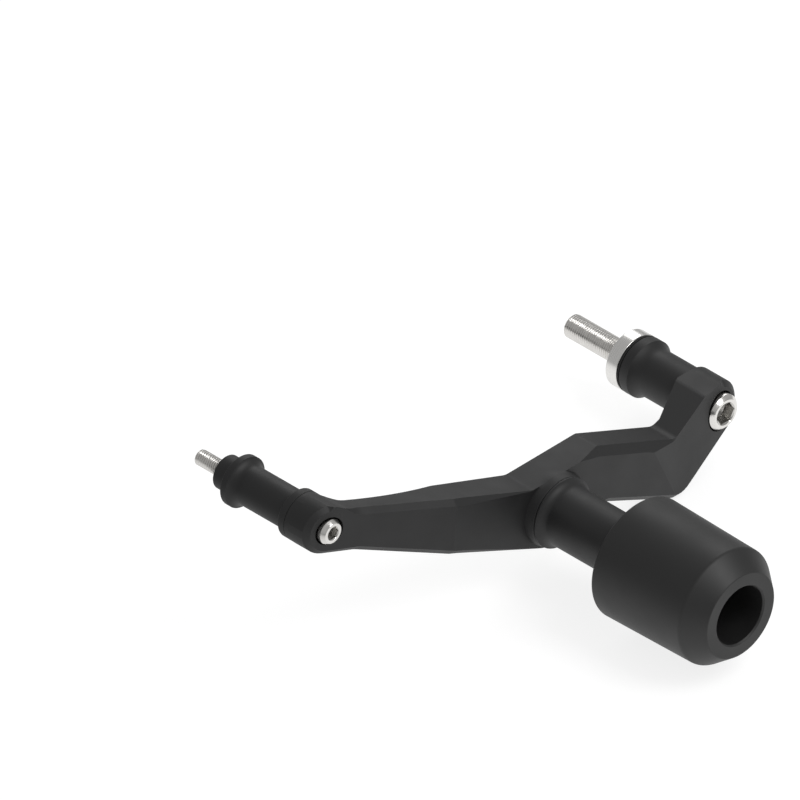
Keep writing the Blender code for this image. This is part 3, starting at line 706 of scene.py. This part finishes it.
def arm():
    """The milled arm from the solid's mesh, with its back rounded and the boss's root eased."""
    mesh = frame["nodes"]["mounting_arm"].data.copy()
    mesh.name = "arm_milled"
    mesh.materials.clear()
    shape = bmesh.new()
    shape.from_mesh(mesh)
    bmesh.ops.remove_doubles(shape, verts=shape.verts, dist=ARM_WELD)
    parts = {"verts": shape.verts, "edges": shape.edges}
    bmesh.ops.dissolve_limit(shape, angle_limit=FLAT_ANGLE, use_dissolve_boundaries=False, **parts)
    round_back(shape)
    ease_boss(shape)
    bmesh.ops.recalc_face_normals(shape, faces=shape.faces)
    shape.to_mesh(mesh)
    shape.free()
    put(mesh, "arm_milled", ARM_FINISH, "mounting_arm", ARM_SHARP_ANGLE)


arm()
post()
bobbin()
main_stack()
rear_stack()
washer()
screw("main_screw", "main_bolt", M12_HEAD, M12_THREAD, thread_length=0.0420)
screw("rear_screw", "rear_bolt", M8_HEAD, M8_THREAD, thread_length=0.0250)
screw("bobbin_screw", "bobbin_bolt", M12_HEAD, M12_THREAD, thread_length=0.0300)


# Floor, world, lights and camera

FLOOR_GAP = 0.0004
FLOOR_SIZE = 8.0
FLOOR_CELLS = 8
FLOOR_COLOUR = 0.30

# How brightly the camera sees the floor
FLOOR_LIFT = 0.80

# The pool of light that reflections see on the floor: its middle, the radii between which it fades, and
# how much is left outside them
POOL_MIDDLE = Vector((0.22, 0.02, 0.0))
POOL_RADII = (0.15, 0.75)
POOL_REST = 0.15

# How bright the world is as light, and as seen in reflections
WORLD_LEVEL = 0.58
ROOM_LEVEL = 0.43

# The softboxes face this point from this distance
LAMP_MIDDLE = Vector((0.075, -0.110, 0.010))
LAMP_DISTANCE = 1.2


def maths(tree, operation, first, second):
    """The result of a maths node for two outputs."""
    node = tree.nodes.new("ShaderNodeMath")
    node.operation = operation
    tree.links.new(first, node.inputs[0])
    tree.links.new(second, node.inputs[1])
    return node.outputs[0]


def background_share(tree):
    """1 for rays that see the background: camera, glossy and transmission rays."""
    rays = tree.nodes.new("ShaderNodeLightPath")
    seen = maths(tree, "MAXIMUM", rays.outputs["Is Camera Ray"], rays.outputs["Is Glossy Ray"])
    return maths(tree, "MAXIMUM", seen, rays.outputs["Is Transmission Ray"])


def floor_material(height):
    """Matt paint that also glows: evenly for the camera, and as a pool of light for reflections."""
    material = bpy.data.materials.new("pale_floor")
    material.use_nodes = True
    tree = material.node_tree
    tree.nodes.remove(tree.nodes["Principled BSDF"])
    matt = tree.nodes.new("ShaderNodeBsdfDiffuse")
    matt.inputs["Color"].default_value = (FLOOR_COLOUR, FLOOR_COLOUR, FLOOR_COLOUR, 1.0)
    glow = tree.nodes.new("ShaderNodeEmission")
    rays = tree.nodes.new("ShaderNodeLightPath")
    place = tree.nodes.new("ShaderNodeNewGeometry")
    away = tree.nodes.new("ShaderNodeVectorMath")
    away.operation = "DISTANCE"
    away.inputs[1].default_value = (POOL_MIDDLE.x, POOL_MIDDLE.y, height)
    tree.links.new(place.outputs["Position"], away.inputs[0])
    pool = tree.nodes.new("ShaderNodeMapRange")
    pool.interpolation_type = "SMOOTHSTEP"
    pool.inputs["From Min"].default_value = POOL_RADII[0]
    pool.inputs["From Max"].default_value = POOL_RADII[1]
    pool.inputs["To Min"].default_value = 1.0
    pool.inputs["To Max"].default_value = POOL_REST
    tree.links.new(away.outputs["Value"], pool.inputs["Value"])
    seen = maths(tree, "MULTIPLY", pool.outputs["Result"], background_share(tree))
    share = maths(tree, "MAXIMUM", seen, rays.outputs["Is Camera Ray"])
    lift = tree.nodes.new("ShaderNodeMath")
    lift.operation = "MULTIPLY"
    lift.inputs[1].default_value = FLOOR_LIFT
    both = tree.nodes.new("ShaderNodeAddShader")
    tree.links.new(share, lift.inputs[0])
    tree.links.new(lift.outputs[0], glow.inputs["Strength"])
    tree.links.new(matt.outputs[0], both.inputs[0])
    tree.links.new(glow.outputs[0], both.inputs[1])
    tree.links.new(both.outputs[0], tree.nodes["Material Output"].inputs["Surface"])
    return material


def floor():
    """A plain pale floor just under the slider. It keeps the slider's shadow."""
    low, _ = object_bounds()
    height = low[2] - FLOOR_GAP
    shape = bmesh.new()
    bmesh.ops.create_grid(shape, x_segments=FLOOR_CELLS, y_segments=FLOOR_CELLS, size=FLOOR_SIZE / 2.0)
    bmesh.ops.translate(shape, verts=shape.verts, vec=(0.0, 0.0, height))
    mesh = bpy.data.meshes.new("floor")
    shape.to_mesh(mesh)
    shape.free()
    plane = bpy.data.objects.new("floor", mesh)
    bpy.context.scene.collection.objects.link(plane)
    mesh.materials.append(floor_material(height))
    plane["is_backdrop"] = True


def world():
    """A white background, with soft light from a greyer room all round."""
    studio = bpy.data.worlds.new("studio")
    bpy.context.scene.world = studio
    studio.use_nodes = True
    tree = studio.node_tree
    background = tree.nodes["Background"]
    rays = tree.nodes.new("ShaderNodeLightPath")
    room = tree.nodes.new("ShaderNodeMix")
    room.inputs["A"].default_value = WORLD_LEVEL
    room.inputs["B"].default_value = ROOM_LEVEL
    tree.links.new(background_share(tree), room.inputs["Factor"])
    strength = tree.nodes.new("ShaderNodeMix")
    strength.inputs["B"].default_value = 1.0
    tree.links.new(rays.outputs["Is Camera Ray"], strength.inputs["Factor"])
    tree.links.new(room.outputs["Result"], strength.inputs["A"])
    tree.links.new(strength.outputs["Result"], background.inputs["Strength"])
    background.inputs["Color"].default_value = (1.0, 1.0, 1.0, 1.0)


def softbox(name, towards, width, height, energy):
    """A flat area light that faces the slider's middle."""
    lamp = bpy.data.lights.new(name, "AREA")
    lamp.shape = "RECTANGLE"
    lamp.size = width
    lamp.size_y = height
    lamp.energy = energy
    holder = bpy.data.objects.new(name, lamp)
    bpy.context.scene.collection.objects.link(holder)
    direction = Vector(towards).normalized()
    holder.location = LAMP_MIDDLE + direction * LAMP_DISTANCE
    holder.rotation_euler = direction.to_track_quat("Z", "Y").to_euler()


def camera():
    """The camera at the photograph's isometric angle."""
    eye = bpy.data.cameras.new("camera")
    eye.type = "ORTHO"
    eye.ortho_scale = VIEW_WIDTH
    eye.clip_end = CAMERA_REACH
    holder = bpy.data.objects.new("camera", eye)
    bpy.context.scene.collection.objects.link(holder)
    holder.location = VIEW_CENTRE + TO_CAMERA * CAMERA_DISTANCE
    holder.rotation_euler = TO_CAMERA.to_track_quat("Z", "Y").to_euler()
    bpy.context.scene.camera = holder


floor()
world()
softbox("back_softbox", (-0.58, 0.60, 0.555), width=0.38, height=0.56, energy=2.0)
softbox("front_softbox", (0.62, 0.16, 0.77), width=0.48, height=0.58, energy=5.5)
camera()

scene = bpy.context.scene
scene.view_settings.view_transform = "Standard"
